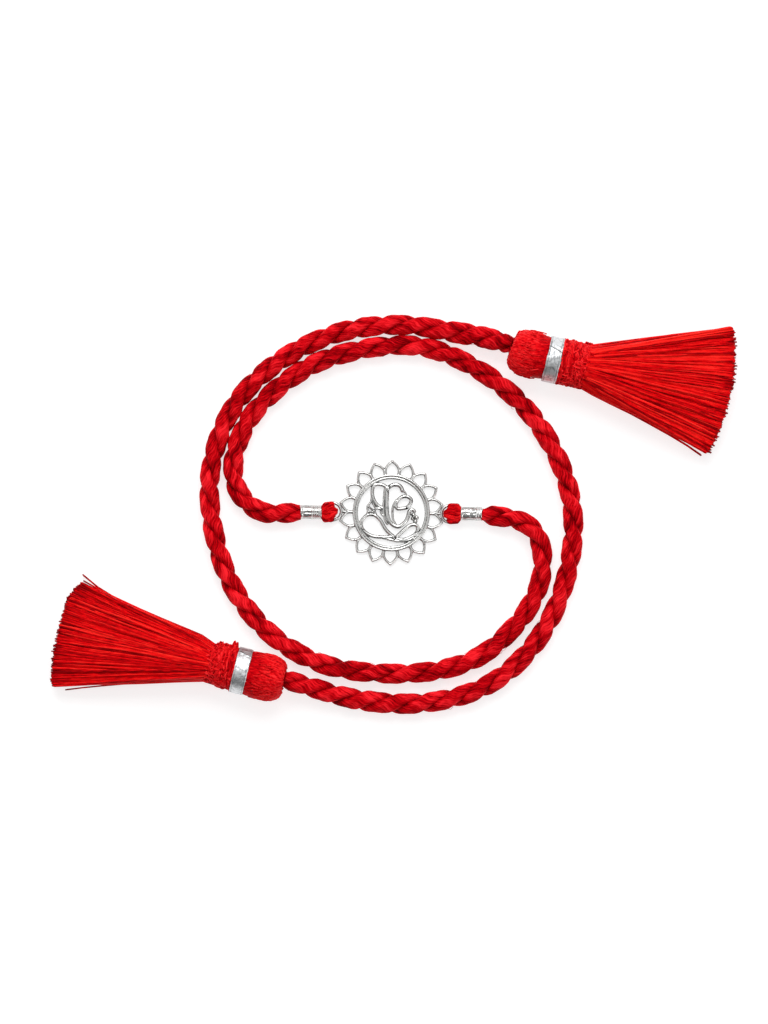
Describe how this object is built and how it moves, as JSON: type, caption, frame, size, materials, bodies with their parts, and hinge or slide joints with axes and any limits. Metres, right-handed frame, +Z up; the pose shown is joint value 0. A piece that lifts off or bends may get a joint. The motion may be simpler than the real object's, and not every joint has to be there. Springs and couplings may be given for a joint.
{
  "type": "rakhi thread bracelet",
  "caption": "Thread bracelet for the wrist: a round pierced silver medallion with open lotus petals between twisted red cords that end in tassels.",
  "frame": {"origin": "under the centre of the medallion, on the surface that the bracelet lies on", "axes": "+X from the medallion's centre through its right eyelet, +Y towards the top of its figure, +Z up"},
  "size_m": [0.1355, 0.0801, 0.0096],
  "materials": {
    "silver": "cast and polished silver with soft edges",
    "silver_foil": "bright crinkled silver strip",
    "red_cord": "two-ply twisted silk thread with a soft sheen",
    "red_thread": "bundled silk thread with a soft sheen"
  },
  "bodies": {
    "root": {"medallion": "silver", "left_sleeve": "silver", "right_sleeve": "silver", "left_thread_loop": "red_thread", "right_thread_loop": "red_thread", "left_cord": "red_cord", "right_cord": "red_cord", "left_tassel": "red_thread", "right_tassel": "red_thread", "left_band": "silver_foil", "right_band": "silver_foil", "left_collar": "red_thread", "right_collar": "red_thread"}
  },
  "joints": []
}
